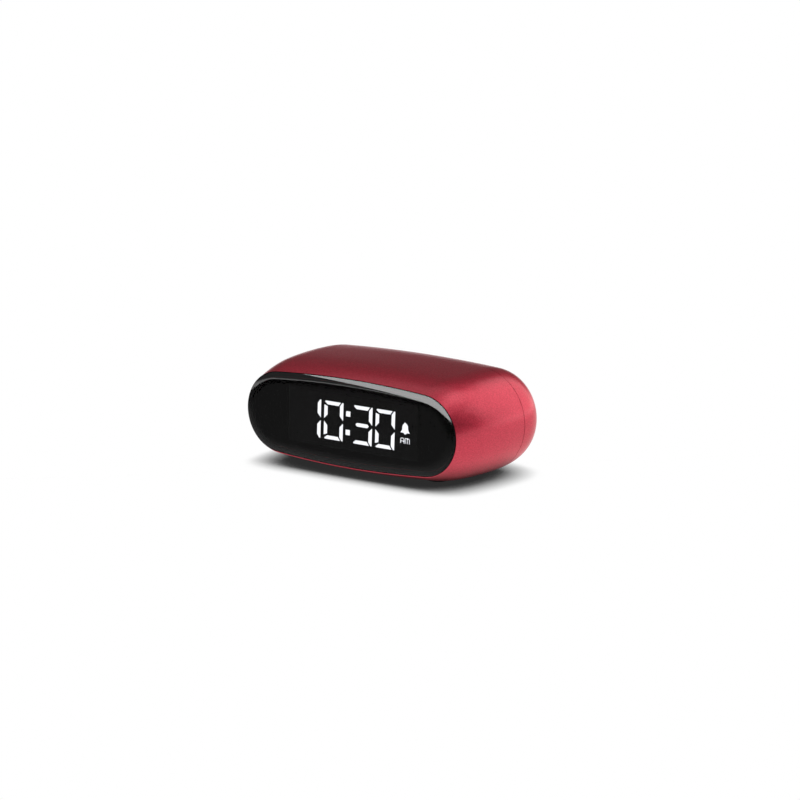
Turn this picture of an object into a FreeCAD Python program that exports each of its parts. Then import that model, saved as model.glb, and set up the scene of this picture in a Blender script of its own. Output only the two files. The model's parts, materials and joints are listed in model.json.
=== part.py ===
import FreeCAD, Part
import math
import os

from FreeCAD import Vector

# Pebble-shaped digital alarm clock, in millimetres.
# Shapes are drawn in the clock's own frame: X to the right, Y rearwards from the face of the lens,
# Z up from mid-height. They are moved at the end so that the feet stand on Z = 0.

# Body: a stadium-like section with a slightly arched top, swelling behind the lens
BODY_WIDTH = 102.0
BODY_HEIGHT = 39.8
BODY_DEPTH = 56.0
CREST = BODY_DEPTH - 27.0
FRONT_POWER_SIDE = 1.8
FRONT_POWER_TOP = 3.5
REAR_POWER_SIDE = 4.1
REAR_POWER_TOP = 2.9
CROWN_RISE_FRONT = 1.35
CROWN_RISE_MID = 0.9
BACK_CUT = 0.4
WALL = 1.8
SEAM = BODY_DEPTH - 19.5
SEAM_GAP = 0.2
TONGUE_REACH = 2.5
TONGUE_WALL = 1.0
TONGUE_CLEARANCE = 0.12
TONGUE_ROOT = 0.2
CUT_OVERSHOOT = 1.0
FRONT_SECTIONS = 8
REAR_SECTIONS = 10
REAR_CROWDING = 1.9
SHORT_SECTIONS = 2

# Lens and the lip that surrounds it
LENS_WIDTH = BODY_WIDTH - 8.0
LENS_HEIGHT = BODY_HEIGHT - 7.1
LENS_THICKNESS = 2.4
LENS_EDGE_WIDTH = 3.4
LENS_EDGE_DEPTH = 2.0
LENS_EDGE_SECTIONS = 6
LENS_PROUD = 0.9
LENS_CLEARANCE = 0.15
LIP = 0.5
LIP_EDGE_RADIUS = 0.25
TAPE_THICKNESS = 0.3
TAPE_WIDTH = 1.8
TAPE_INSET = 0.3
LEDGE_WIDTH = 2.4
LEDGE_THICKNESS = 1.5
MASK_THICKNESS = 0.2
MASK_CLEARANCE = 0.2

# Display module: seven-segment digits in a dark housing
DISPLAY_WIDTH = 58.0
DISPLAY_HEIGHT = 20.0
DISPLAY_CLEARANCE = 0.2
DIGIT_HEIGHT = 14.0
DIGIT_WIDTH = 8.6
DIGIT_PITCH = 10.1
COLON_SPACE = 3.0
DIGIT_LEAN = 2.2
UPRIGHT_STROKE = 1.5
LEVEL_STROKE = 1.3
SEGMENT_GAP = 0.7
WAIST_GAP = 1.0
SEGMENT_DEPTH = 1.5
SEGMENT_CLEARANCE = 0.02
DIGITS_RIGHT = 18.7
DIGITS_MIDDLE = -0.3
COLON_DOT = 1.9
COLON_PITCH = 6.8
ICON_OFFSET = 4.6
BELL_WIDTH = 4.0
BELL_HEIGHT = 4.3
BELL_RAISE = 1.5
BELL_WAIST = 0.33
BELL_RIM = 0.17
BELL_RIM_DEPTH = 0.25
BELL_SHOULDER = 0.66
BELL_TOP = 0.94
BELL_CLAPPER = 0.16
BELL_FLANK = (1.08, 0.62)
AM_WIDTH = 4.1
AM_HEIGHT = 2.1
AM_DROP = 3.0

# Boards and what they carry
BOARD_THICKNESS = 1.2
MAIN_BOARD_MARGIN = 0.9
BOARD_BOSS_DIAMETER = 4.2
BOARD_BOSS_ANGLE = 40.0
BOARD_BOSS_INSET = 1.1
BOARD_BOSS_HEIGHT = 5.5
SCREW_DIAMETER = 1.8
SCREW_HOLE_CLEARANCE = 0.1
PILOT_CLEARANCE = 0.04
SCREW_HEAD_DIAMETER = 3.4
SCREW_HEAD_HEIGHT = 1.3
SCREW_HEAD_CHAMFER = 0.4
SCREW_SLOT_LENGTH = 2.0
SCREW_SLOT_WIDTH = 0.5
SCREW_SLOT_DEPTH = 0.6
BOARD_SCREW_REACH = 4.0
PILOT_END_ROOM = 0.5
CHIP_SIZE = 10.0
CHIP_HEIGHT = 1.6
DRIVER_LENGTH = 9.0
DRIVER_WIDTH = 5.0
CRYSTAL_LENGTH = 8.0
CRYSTAL_DIAMETER = 2.6
CRYSTAL_EDGE = 0.4
CONNECTOR_WIDTH = 11.0
CONNECTOR_HEIGHT = 4.0
CONNECTOR_DEPTH = 3.0
RIBBON_END = 1.2
RIBBON_WIDTH = 8.0
RIBBON_THICKNESS = 0.3
RIBBON_BEND = 5.0
RIBBON_DROP = 6.0
RIBBON_CLEARANCE = 0.02

# Touch plate under the top
TOUCH_WIDTH = BODY_WIDTH - 58.0
TOUCH_LENGTH = 16.0
TOUCH_THICKNESS = 0.2
TOUCH_CENTRE = CREST - 5.0
TOUCH_GAP = 0.02
CONTACT_WIDTH = 4.0
CONTACT_THICKNESS = 0.4
CONTACT_DROP = 6.0
CONTACT_FOOT = 3.0
CONTACT_RISE = 2.0
CONTACT_BEND = 1.0
CONTACT_SAG = 0.56

# Control panel sunk into the back
PANEL_WIDTH = 25.0
PANEL_HEIGHT = 16.0
PANEL_X = BODY_WIDTH / 2 - 28.5
PANEL_SINK = 2.8
PANEL_CORNER = 3.5
PANEL_WALL = 1.6
BUTTON_DIAMETER = 4.4
BUTTON_PITCH = 6.0
BUTTON_RAISE = 3.4
BUTTON_PROUD = 1.0
BUTTON_CLEARANCE = 0.08
BUTTON_TRAVEL = 0.6
BUTTON_FLANGE = 0.5
BUTTON_FLANGE_THICKNESS = 1.0
BUTTON_SEAT = 0.1
BUTTON_EDGE_RADIUS = 0.4
TACT_SIZE = 4.5
TACT_HEIGHT = 3.2
TACT_PLUNGER_DIAMETER = 2.4
TACT_PLUNGER_PROUD = 0.9
TACT_PLUNGER_DEPTH = 1.4
TACT_WELL_ROOM = 0.2
KEY_BOARD_WIDTH = 29.4
KEY_BOARD_TOP = 10.0
KEY_BOARD_BOTTOM = -10.4
KEY_BOARD_CORNER = 2.0
KEY_BOSS_DIAMETER = 3.6
KEY_BOSS_SPREAD = 12.0
SWITCH_X = -7.0
SWITCH_DROP = 4.0
SWITCH_TRAVEL = 3.0
SWITCH_BODY_LENGTH = 9.0
SWITCH_BODY_WIDTH = 4.0
SWITCH_BODY_HEIGHT = 4.0
KNOB_LENGTH = 2.6
KNOB_WIDTH = 2.2
KNOB_PROUD = 1.2
KNOB_CLEARANCE = 0.2
KNOB_FOOT = 1.2
KNOB_GROOVE_WIDTH = 0.3
KNOB_GROOVE_PITCH = 0.7
BUZZER_DIAMETER = 9.0
BUZZER_X = 5.0
BUZZER_DROP = 4.0
BUZZER_CLEARANCE = 0.3
BUZZER_PORT_DIAMETER = 2.0
BUZZER_PORT_DEPTH = 1.0
SOUND_SLOTS = 4
SOUND_SLOT_WIDTH = 1.1
SOUND_SLOT_LENGTH = 5.6
SOUND_SLOT_PITCH = 2.1

# Battery bay for two AAA cells lying side by side, and its door in the back
CELL_DIAMETER = 10.4
CELL_EDGE = 0.5
CELL_NUB_DIAMETER = 3.8
CELL_NUB_LENGTH = 1.0
CELL_GAP = 0.3
BAY_LEFT = 7.5 - BODY_WIDTH / 2
BAY_TO_PANEL = 4.5
BAY_END_PLAY = 4.5
BAY_WALL = 1.4
BAY_FRONT = BODY_DEPTH - 20.4
CELL_SEAT = 0.1
CONTACT_PLATE = 0.4
CONTACT_SPAN = 8.4
LEAF_REACH = 2.1
LEAF_THICKNESS = 0.35
LEAF_HALF_SPAN = 3.2
DOME_BASE_RADIUS = 2.85
DOME_TIP_RADIUS = 1.52
TAIL_WIDTH = 2.0
TAIL_REACH = 1.5
TAIL_CLEARANCE = 0.1
DOOR_LEFT = BAY_LEFT + 3.2
DOOR_OVERLAP = 0.7
DOOR_HEIGHT = 22.4
DOOR_CORNER = 2.5
DOOR_THICKNESS = 1.6
OPENING_SILL = 0.1
DOOR_GAP = 0.28
DOOR_TAB_WIDTH = 5.0
DOOR_TAB_PITCH = 16.0
DOOR_TAB_REACH = 1.3
DOOR_TAB_ROOT = 3.0
DOOR_TAB_THICKNESS = 1.2
DOOR_TAB_CLEARANCE = 0.25
DOOR_PAD_MARGIN = 8.25
DOOR_PAD_WIDTH = 5.0
DOOR_PAD_SQUASH = 0.5
NOTCH_RADIUS = 6.0
NOTCH_DEPTH = 1.3
LEAD_DIAMETER = 1.2
LEAD_BEND = 3.0
LEAD_SPREAD = 2.5
LEAD_SHIFT = 4.0

# Case screws and feet
CASE_SCREW_X = BODY_WIDTH / 2 - 17.0
CASE_SCREW_Z = BODY_HEIGHT / 2 - 5.2
CASE_BOSS_DIAMETER = 4.6
CASE_BOSS_LENGTH = 9.0
CASE_BOSS_END = 1.0
CASE_BOSS_CLEARANCE = 0.2
CASE_SLEEVE_DIAMETER = 6.4
COUNTERBORE_DIAMETER = 4.2
CASE_SCREW_SEAT = SEAM + 5.5
CASE_SCREW_REACH = 11.0
FOOT_DIAMETER = 8.0
FOOT_PROUD = 0.8
FOOT_SINK = 0.8
FOOT_X = BODY_WIDTH / 2 - 27.0
FOOT_FRONT_Y = SEAM - 15.5
FOOT_REAR_Y = SEAM + 5.0
FOOT_CLEARANCE = 0.1
FOOT_EDGE = 0.4

# Sizes that follow from the driving dimensions
FRONT_HALF_WIDTH = LENS_WIDTH / 2 + LENS_CLEARANCE + LIP
FRONT_HALF_HEIGHT = LENS_HEIGHT / 2 + LENS_CLEARANCE + LIP
APEX = BODY_DEPTH + BACK_CUT
LEDGE_FRONT = LENS_THICKNESS + TAPE_THICKNESS
LEDGE_BACK = LEDGE_FRONT + LEDGE_THICKNESS
DISPLAY_FACE = LENS_THICKNESS + MASK_THICKNESS + DISPLAY_CLEARANCE
MAIN_BOARD_Y = LEDGE_FRONT + BOARD_BOSS_HEIGHT
MAIN_BOARD_BACK = MAIN_BOARD_Y + BOARD_THICKNESS
PANEL_FLOOR = BODY_DEPTH - PANEL_SINK
PANEL_INSIDE = PANEL_FLOOR - PANEL_WALL
FLANGE_BACK = PANEL_INSIDE - BUTTON_SEAT
FLANGE_FRONT = FLANGE_BACK - BUTTON_FLANGE_THICKNESS
TACT_TOP = FLANGE_FRONT - TACT_PLUNGER_PROUD
KEY_BOARD_BACK = TACT_TOP - TACT_HEIGHT
KEY_BOARD_Y = KEY_BOARD_BACK - BOARD_THICKNESS
BUTTON_XS = [PANEL_X + (i - 1.5) * BUTTON_PITCH for i in range(4)]
KEY_BOSS_PLACES = [
    (PANEL_X, BUTTON_RAISE + TACT_SIZE),
    (PANEL_X - KEY_BOSS_SPREAD, -SWITCH_DROP - SWITCH_BODY_WIDTH),
    (PANEL_X + KEY_BOSS_SPREAD, -SWITCH_DROP - SWITCH_BODY_WIDTH),
]
RIBBON_X = PANEL_X
BAY_RIGHT = PANEL_X - PANEL_WIDTH / 2 - BAY_TO_PANEL
CELL_LENGTH = BAY_RIGHT - BAY_LEFT - BAY_END_PLAY
BAY_HALF_HEIGHT = CELL_DIAMETER + CELL_GAP / 2 + CELL_SEAT
CELL_Z = (CELL_DIAMETER + CELL_GAP) / 2
CELL_Y = BAY_FRONT + CELL_SEAT + CELL_DIAMETER / 2
DOOR_WIDTH = BAY_RIGHT + DOOR_OVERLAP - DOOR_LEFT
DOOR_MIDDLE = DOOR_LEFT + DOOR_WIDTH / 2
DOME_HEIGHT = BAY_END_PLAY - 2 * CONTACT_PLATE - LEAF_REACH
CASE_SCREW_PLACES = [(x, z) for x in (-CASE_SCREW_X, CASE_SCREW_X) for z in (-CASE_SCREW_Z, CASE_SCREW_Z)]
FLOOR = -BODY_HEIGHT / 2 - FOOT_PROUD
SNAP = 1e-6


def rounded_end_wire(y, half_width, half_height, rise):
    """Closed outline at depth y: two end arcs joined tangentially by two shallow crown arcs."""
    end_radius = half_height - rise
    reach = half_width - end_radius
    drop = (reach ** 2 - rise ** 2) / (2 * rise)
    span = math.hypot(reach, drop)
    touch_x = reach + end_radius * reach / span
    touch_z = end_radius * drop / span

    def arc(start, middle, end):
        points = [Vector(x, y, z) for x, z in (start, middle, end)]
        return Part.Arc(*points).toShape()

    return Part.Wire([
        arc((-touch_x, touch_z), (0, half_height), (touch_x, touch_z)),
        arc((touch_x, touch_z), (half_width, 0), (touch_x, -touch_z)),
        arc((touch_x, -touch_z), (0, -half_height), (-touch_x, -touch_z)),
        arc((-touch_x, -touch_z), (-half_width, 0), (-touch_x, touch_z)),
    ])


def half_size(y, front, full, front_power, rear_power, inset):
    """Half width or height of the body at depth y, reduced by inset on every side."""
    if y <= CREST:
        share = (CREST - y) / (CREST - LENS_PROUD)
        return full - (full - front) * share ** front_power - inset
    share = (y - CREST) / (APEX - inset - CREST)
    return (full - inset) * (1 - share ** rear_power) ** (1 / rear_power)


def crown_rise(y):
    share = min(1.0, (y - LENS_PROUD) / (CREST - LENS_PROUD))
    return CROWN_RISE_FRONT + (CROWN_RISE_MID - CROWN_RISE_FRONT) * share


def half_sizes(y, inset=0.0):
    """Half width and half height of the body at depth y."""
    return (half_size(y, FRONT_HALF_WIDTH, BODY_WIDTH / 2, FRONT_POWER_SIDE, REAR_POWER_SIDE, inset),
            half_size(y, FRONT_HALF_HEIGHT, BODY_HEIGHT / 2, FRONT_POWER_TOP, REAR_POWER_TOP, inset))


def body_wire(y, inset=0.0):
    return rounded_end_wire(y, *half_sizes(y, inset), crown_rise(y))


def body_loft(start, end, inset=0.0, sections=FRONT_SECTIONS, crowd=1.0):
    """Solid between two depths; crowd above 1 draws the sections together towards the end."""
    depths = [start + (end - start) * (1 - (1 - i / sections) ** crowd) for i in range(sections + 1)]
    return Part.makeLoft([body_wire(y, inset) for y in depths], True, False)


def rear_loft(inset, start):
    """Solid from a depth to the flat of the back; sections crowd where the back turns in."""
    return body_loft(start, BODY_DEPTH - inset, inset, REAR_SECTIONS, REAR_CROWDING)


def lens_prism(offset, start, end):
    """Prism with the outline of the lens, grown by offset."""
    wire = rounded_end_wire(start, LENS_WIDTH / 2 + offset, LENS_HEIGHT / 2 + offset, CROWN_RISE_FRONT)
    return Part.Face(wire).extrude(Vector(0, end - start, 0))


def block(x0, x1, y0, y1, z0, z1):
    return Part.makeBox(x1 - x0, y1 - y0, z1 - z0, Vector(x0, y0, z0))


def rounded_block(x0, x1, y0, y1, z0, z1, radius):
    """Block whose four edges along Y are rounded."""
    solid = block(x0, x1, y0, y1, z0, z1)
    edges = [e for e in solid.Edges if abs(e.tangentAt(e.FirstParameter).y) > 0.9]
    return solid.makeFillet(radius, edges)


def rod(x, z, y0, y1, diameter):
    return Part.makeCylinder(diameter / 2, y1 - y0, Vector(x, y0, z), Vector(0, 1, 0))


def prism(points, y0, y1):
    """Prism along Y over a polygon of (x, z) points."""
    corners = [Vector(x, y0, z) for x, z in points]
    return Part.Face(Part.makePolygon(corners + corners[:1])).extrude(Vector(0, y1 - y0, 0))


def fused(shapes):
    first = shapes[0]
    return first.fuse(shapes[1:]).removeSplitter() if len(shapes) > 1 else first


def edges_at(solid, y):
    """Edges that lie in the plane at depth y."""
    return [e for e in solid.Edges if abs(e.BoundBox.YMin - y) < SNAP and abs(e.BoundBox.YMax - y) < SNAP]


def flat_ends(solid):
    """Edges round the two ends of a cylinder that lies along X."""
    return [e for e in solid.Edges if e.BoundBox.XLength < SNAP]


def bend_path(points, radius):
    """Tangent arcs at the inner points of a path: (start, middle, end, centre) of each arc."""
    bends = []
    for before, corner, after in zip(points, points[1:], points[2:]):
        towards = (before - corner).normalize()
        away = (after - corner).normalize()
        half_turn = (math.pi - towards.getAngle(away)) / 2
        setback = radius * math.tan(half_turn)
        inwards = (towards + away).normalize()
        centre = corner + inwards * (radius / math.cos(half_turn))
        bends.append((corner + towards * setback, centre - inwards * radius, corner + away * setback, centre))
    return bends


def strip(points, width, thickness, radius):
    """Flat strip bent along a path in the YZ plane; its width lies along X about the path."""
    side = Vector(1, 0, 0)
    sides = []
    for offset in (-thickness / 2, thickness / 2):
        def moved(point, direction):
            return point + direction.cross(side).normalize() * offset
        bends = bend_path(points, radius)
        edges = []
        at = moved(points[0], points[1] - points[0])
        for (start, middle, end, centre), corner, after in zip(bends, points[1:], points[2:]):
            first = moved(start, corner - start)
            last = moved(end, after - end)
            along = (end - start).normalize()
            halfway = moved(middle, along)
            edges.append(Part.makeLine(at, first))
            edges.append(Part.Arc(first, halfway, last).toShape())
            at = last
        finish = moved(points[-1], points[-1] - points[-2])
        edges.append(Part.makeLine(at, finish))
        sides.append(edges)
    lower, upper = sides
    start_cap = Part.makeLine(lower[0].Vertexes[0].Point, upper[0].Vertexes[0].Point)
    end_cap = Part.makeLine(lower[-1].Vertexes[-1].Point, upper[-1].Vertexes[-1].Point)
    outline = Part.Wire(Part.__sortEdges__(lower + upper + [start_cap, end_cap]))
    solid = Part.Face(outline).extrude(side * width)
    solid.translate(side * (-width / 2))
    return solid


def tube(points, diameter, radius):
    """Round wire along straight runs joined by tangent arcs."""
    edges = []
    at = points[0]
    for start, middle, end, centre in bend_path(points, radius):
        edges.append(Part.makeLine(at, start))
        edges.append(Part.Arc(start, middle, end).toShape())
        at = end
    edges.append(Part.makeLine(at, points[-1]))
    path = Part.Wire(edges)
    direction = points[1] - points[0]
    ring = Part.Wire(Part.makeCircle(diameter / 2, points[0], direction))
    return path.makePipeShell([ring], True, False)


def board_boss_places():
    """Centres of the four bosses round the lens ledge that carry the main board."""
    end_radius = LENS_HEIGHT / 2 - CROWN_RISE_FRONT
    arc_x = LENS_WIDTH / 2 - end_radius
    distance = end_radius - BOARD_BOSS_INSET
    dx = distance * math.cos(math.radians(BOARD_BOSS_ANGLE))
    dz = distance * math.sin(math.radians(BOARD_BOSS_ANGLE))
    return [(sx * (arc_x + dx), sz * dz) for sx in (-1, 1) for sz in (-1, 1)]


def underside(x, y, inset=0.0):
    """Height of the body's underside at a point, below mid-height."""
    half_width, half_height = half_sizes(y, inset)
    rise = crown_rise(y)
    reach = half_width - (half_height - rise)
    drop = (reach ** 2 - rise ** 2) / (2 * rise)
    return -(math.sqrt((half_height + drop) ** 2 - x ** 2) - drop)


def foot_socket(x, y):
    top = underside(x, y) + FOOT_SINK
    radius = FOOT_DIAMETER / 2 + FOOT_CLEARANCE
    start = FLOOR - CUT_OVERSHOOT
    return Part.makeCylinder(radius, top - start, Vector(x, y, start))


def foot(x, y):
    top = underside(x, y) + FOOT_SINK
    pad = Part.makeCylinder(FOOT_DIAMETER / 2, top - FLOOR, Vector(x, y, FLOOR))
    rim = [e for e in pad.Edges if e.BoundBox.ZMax < FLOOR + SNAP]
    return pad.makeChamfer(FOOT_EDGE, rim)


def front_shell():
    seam_edge = SEAM - SEAM_GAP / 2
    shell = body_loft(LENS_PROUD, seam_edge)
    shell = shell.makeFillet(LIP_EDGE_RADIUS, edges_at(shell, LENS_PROUD))
    shell = shell.cut(body_loft(LEDGE_BACK, seam_edge + CUT_OVERSHOOT, WALL))
    bosses = [rod(x, z, LEDGE_FRONT, MAIN_BOARD_Y, BOARD_BOSS_DIAMETER) for x, z in board_boss_places()]
    posts = [rod(x, z, seam_edge - CASE_BOSS_LENGTH, seam_edge, CASE_BOSS_DIAMETER)
             for x, z in CASE_SCREW_PLACES]
    trim = body_loft(LEDGE_FRONT, seam_edge, WALL / 2)
    window = lens_prism(-LEDGE_WIDTH, LEDGE_FRONT - CUT_OVERSHOOT, LEDGE_BACK + CUT_OVERSHOOT)
    shell = shell.cut(window)
    shell = shell.fuse([post.common(trim) for post in bosses + posts])
    pilot = SCREW_DIAMETER + 2 * PILOT_CLEARANCE
    holes = [rod(x, z, MAIN_BOARD_Y - BOARD_SCREW_REACH - PILOT_END_ROOM, MAIN_BOARD_Y + CUT_OVERSHOOT, pilot)
             for x, z in board_boss_places()]
    holes += [rod(x, z, seam_edge - CASE_BOSS_LENGTH + CASE_BOSS_END, seam_edge + CUT_OVERSHOOT, pilot)
              for x, z in CASE_SCREW_PLACES]
    sockets = [foot_socket(x, FOOT_FRONT_Y) for x in (-FOOT_X, FOOT_X)]
    pocket = lens_prism(LENS_CLEARANCE, -CUT_OVERSHOOT, LEDGE_FRONT)
    return shell.cut([pocket] + holes + sockets)


def door_outline(gap, start, end):
    half = DOOR_HEIGHT / 2 - gap
    right = DOOR_LEFT + DOOR_WIDTH - gap
    return rounded_block(DOOR_LEFT + gap, right, start, end, -half, half, DOOR_CORNER - gap)


def door_tab_centres():
    return [DOOR_MIDDLE - DOOR_TAB_PITCH / 2, DOOR_MIDDLE + DOOR_TAB_PITCH / 2]


def tab_block(x, clearance):
    """One hinge tab under the lower edge of the door opening."""
    edge = -DOOR_HEIGHT / 2
    back = tab_back() + clearance
    front = tab_back() - DOOR_TAB_THICKNESS - clearance
    half = DOOR_TAB_WIDTH / 2 + clearance
    return block(x - half, x + half, front, back, edge - DOOR_TAB_REACH - clearance,
                 edge + DOOR_TAB_ROOT)


def tab_back():
    """Depth of the rear face of the tabs, clear of the wall they hook behind."""
    return edge_depth(DOOR_MIDDLE - DOOR_TAB_PITCH, -DOOR_HEIGHT / 2) - WALL - DOOR_TAB_CLEARANCE


def edge_depth(x, z):
    """Depth at which the body's back passes through a point, found by halving."""
    low, high = CREST, BODY_DEPTH
    for _ in range(40):
        middle = (low + high) / 2
        if abs(underside(x, middle)) > abs(z):
            low = middle
        else:
            high = middle
    return low


def rear_cover():
    edge = SEAM + SEAM_GAP / 2
    cover = rear_loft(0.0, edge)
    cavity = rear_loft(WALL, edge - CUT_OVERSHOOT)
    inside = rear_loft(WALL / 2, edge)
    bay = block(BAY_LEFT - BAY_WALL, BAY_RIGHT + BAY_WALL, BAY_FRONT - BAY_WALL, BODY_DEPTH,
                -BAY_HALF_HEIGHT - BAY_WALL, BAY_HALF_HEIGHT + BAY_WALL)
    bay_ahead = block(BAY_LEFT - BAY_WALL, BAY_RIGHT + BAY_WALL, BAY_FRONT - BAY_WALL, edge + SEAM_GAP / 2,
                      -BAY_HALF_HEIGHT - BAY_WALL, BAY_HALF_HEIGHT + BAY_WALL)
    tongue_inset = WALL + TONGUE_CLEARANCE
    bay_ahead = bay_ahead.common(
        body_loft(BAY_FRONT - 2 * BAY_WALL, edge + CUT_OVERSHOOT, tongue_inset, SHORT_SECTIONS))
    sleeves = [rod(x, z, edge, BODY_DEPTH, CASE_SLEEVE_DIAMETER) for x, z in CASE_SCREW_PLACES]
    panel_back = rounded_block(PANEL_X - PANEL_WIDTH / 2 - PANEL_WALL, PANEL_X + PANEL_WIDTH / 2 + PANEL_WALL,
                               PANEL_INSIDE, BODY_DEPTH, -PANEL_HEIGHT / 2 - PANEL_WALL,
                               PANEL_HEIGHT / 2 + PANEL_WALL, PANEL_CORNER + PANEL_WALL)
    key_bosses = [rod(x, z, KEY_BOARD_BACK, PANEL_INSIDE + PANEL_WALL / 3, KEY_BOSS_DIAMETER)
                  for x, z in KEY_BOSS_PLACES]
    inner_wall = tongue_inset + TONGUE_WALL
    tongue_root = body_loft(edge, edge + TONGUE_REACH, WALL - TONGUE_ROOT, SHORT_SECTIONS).cut(
        body_loft(edge - CUT_OVERSHOOT, edge + TONGUE_REACH + CUT_OVERSHOOT, inner_wall, SHORT_SECTIONS))
    tongue = body_loft(edge - TONGUE_REACH, edge + TONGUE_REACH / 5, tongue_inset, SHORT_SECTIONS).cut(
        body_loft(edge - TONGUE_REACH - CUT_OVERSHOOT, edge + CUT_OVERSHOOT, inner_wall, SHORT_SECTIONS))
    post_room = CASE_BOSS_DIAMETER + 2 * CASE_BOSS_CLEARANCE
    tongue = tongue.cut([rod(x, z, edge - TONGUE_REACH - CUT_OVERSHOOT, edge, post_room)
                         for x, z in CASE_SCREW_PLACES])
    shell = cover.cut(cavity)
    inner = [bay.common(inside)] + [s.common(inside) for s in sleeves]
    inner += [panel_back.common(inside)] + [b.common(inside) for b in key_bosses]
    shell = shell.fuse(inner + [bay_ahead, tongue_root, tongue])
    cell_room = block(BAY_LEFT, BAY_RIGHT, BAY_FRONT, BODY_DEPTH, -BAY_HALF_HEIGHT, BAY_HALF_HEIGHT)
    cell_room = cell_room.common(rear_loft(DOOR_THICKNESS, BAY_FRONT - CUT_OVERSHOOT))
    opening = door_outline(0.0, BAY_FRONT + CELL_DIAMETER, BODY_DEPTH + CUT_OVERSHOOT)
    opening = opening.cut(rear_loft(DOOR_THICKNESS + OPENING_SILL, BAY_FRONT))
    tab_slots = [tab_block(x, DOOR_TAB_CLEARANCE) for x in door_tab_centres()]
    notch_z = DOOR_HEIGHT / 2
    notch_y = edge_depth(DOOR_MIDDLE, notch_z) + NOTCH_RADIUS - NOTCH_DEPTH
    notch = Part.makeSphere(NOTCH_RADIUS, Vector(DOOR_MIDDLE, notch_y, notch_z))
    recess = rounded_block(PANEL_X - PANEL_WIDTH / 2, PANEL_X + PANEL_WIDTH / 2, PANEL_FLOOR,
                           BODY_DEPTH + CUT_OVERSHOOT, -PANEL_HEIGHT / 2, PANEL_HEIGHT / 2, PANEL_CORNER)
    hole = BUTTON_DIAMETER + 2 * BUTTON_CLEARANCE
    button_holes = [rod(x, BUTTON_RAISE, PANEL_INSIDE - CUT_OVERSHOOT, BODY_DEPTH, hole) for x in BUTTON_XS]
    counterbores = [rod(x, z, CASE_SCREW_SEAT, BODY_DEPTH + CUT_OVERSHOOT, COUNTERBORE_DIAMETER)
                    for x, z in CASE_SCREW_PLACES]
    shank_hole = SCREW_DIAMETER + 2 * SCREW_HOLE_CLEARANCE
    shank_holes = [rod(x, z, edge - CUT_OVERSHOOT, CASE_SCREW_SEAT + CUT_OVERSHOOT, shank_hole)
                   for x, z in CASE_SCREW_PLACES]
    pilot = SCREW_DIAMETER + 2 * PILOT_CLEARANCE
    pilots = [rod(x, z, KEY_BOARD_BACK - CUT_OVERSHOOT, KEY_BOARD_BACK + BOARD_SCREW_REACH, pilot)
              for x, z in KEY_BOSS_PLACES]
    sockets = [foot_socket(x, FOOT_REAR_Y) for x in (-FOOT_X, FOOT_X)]
    slots = [sound_slot(i) for i in range(SOUND_SLOTS)]
    slots += [contact_tail(z, TAIL_CLEARANCE) for z in (-CELL_Z, CELL_Z)]
    return shell.cut([cell_room, opening, notch, recess, knob_slot()] + tab_slots + button_holes + counterbores
                     + shank_holes + pilots + sockets + slots)


def sound_slot(index):
    x = PANEL_X + BUZZER_X + (index - (SOUND_SLOTS - 1) / 2) * SOUND_SLOT_PITCH
    half = SOUND_SLOT_WIDTH / 2
    length = SOUND_SLOT_LENGTH / 2
    return block(x - half, x + half, PANEL_INSIDE - CUT_OVERSHOOT, BODY_DEPTH, -BUZZER_DROP - length,
                 -BUZZER_DROP + length)


def knob_slot():
    half = SWITCH_TRAVEL / 2 + KNOB_LENGTH / 2 + KNOB_CLEARANCE
    side = KNOB_WIDTH / 2 + KNOB_CLEARANCE
    x = PANEL_X + SWITCH_X
    return block(x - half, x + half, PANEL_INSIDE - CUT_OVERSHOOT, BODY_DEPTH, -SWITCH_DROP - side,
                 -SWITCH_DROP + side)


def lens():
    """Polished window whose edge rolls off along a quarter ellipse, wider than it is deep."""
    wires = []
    for i in range(LENS_EDGE_SECTIONS + 1):
        turn = math.pi / 2 * i / LENS_EDGE_SECTIONS
        inset = LENS_EDGE_WIDTH * (1 - math.sin(turn))
        depth = LENS_EDGE_DEPTH * (1 - math.cos(turn))
        wires.append(rounded_end_wire(depth, LENS_WIDTH / 2 - inset, LENS_HEIGHT / 2 - inset, CROWN_RISE_FRONT))
    return Part.makeLoft(wires, True, False).fuse(lens_prism(0.0, LENS_EDGE_DEPTH, LENS_THICKNESS))


def lens_tape():
    ring = lens_prism(-TAPE_INSET, LENS_THICKNESS, LEDGE_FRONT)
    inner = lens_prism(-TAPE_INSET - TAPE_WIDTH, LENS_THICKNESS - CUT_OVERSHOOT, LEDGE_FRONT + CUT_OVERSHOOT)
    return ring.cut(inner)


def display_mask():
    inset = TAPE_INSET + TAPE_WIDTH + MASK_CLEARANCE
    sheet = lens_prism(-inset, LENS_THICKNESS, LENS_THICKNESS + MASK_THICKNESS)
    half_width, half_height = DISPLAY_WIDTH / 2, DISPLAY_HEIGHT / 2
    window = block(-half_width, half_width, 0, BODY_DEPTH, -half_height, half_height)
    return sheet.cut(window)


def leaning(points, left):
    """Move digit points to their place and lean them to the right about mid-height."""
    slope = math.tan(math.radians(DIGIT_LEAN))
    return [(left + x + z * slope, DIGITS_MIDDLE + z) for x, z in points]


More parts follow.
